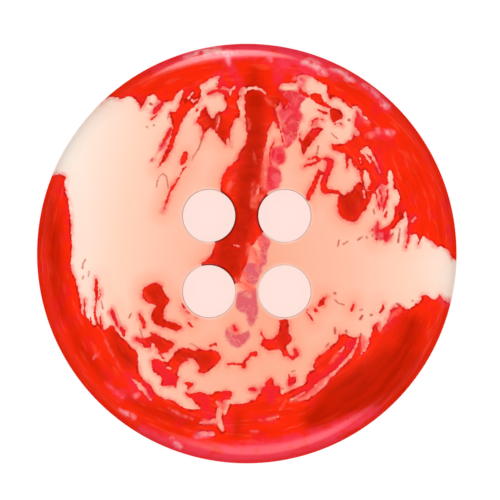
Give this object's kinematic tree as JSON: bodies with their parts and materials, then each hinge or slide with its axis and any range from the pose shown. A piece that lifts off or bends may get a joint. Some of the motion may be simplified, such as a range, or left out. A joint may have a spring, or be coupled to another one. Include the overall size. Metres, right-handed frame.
{
  "type": "sewing button",
  "caption": "Round domed sewing button of red and cream marbled resin, with thread holes in a square and a flat back.",
  "frame": {"origin": "centre of the flat back face", "axes": "+Z along the button's axis, out of the domed front; X and Y square to the four thread holes, +Y up as in the picture"},
  "size_m": [0.02, 0.02, 0.0036],
  "materials": {
    "resin": "polished cast resin, red marbled with cream, slightly translucent"
  },
  "bodies": {
    "root": {"button": "resin"}
  },
  "joints": []
}
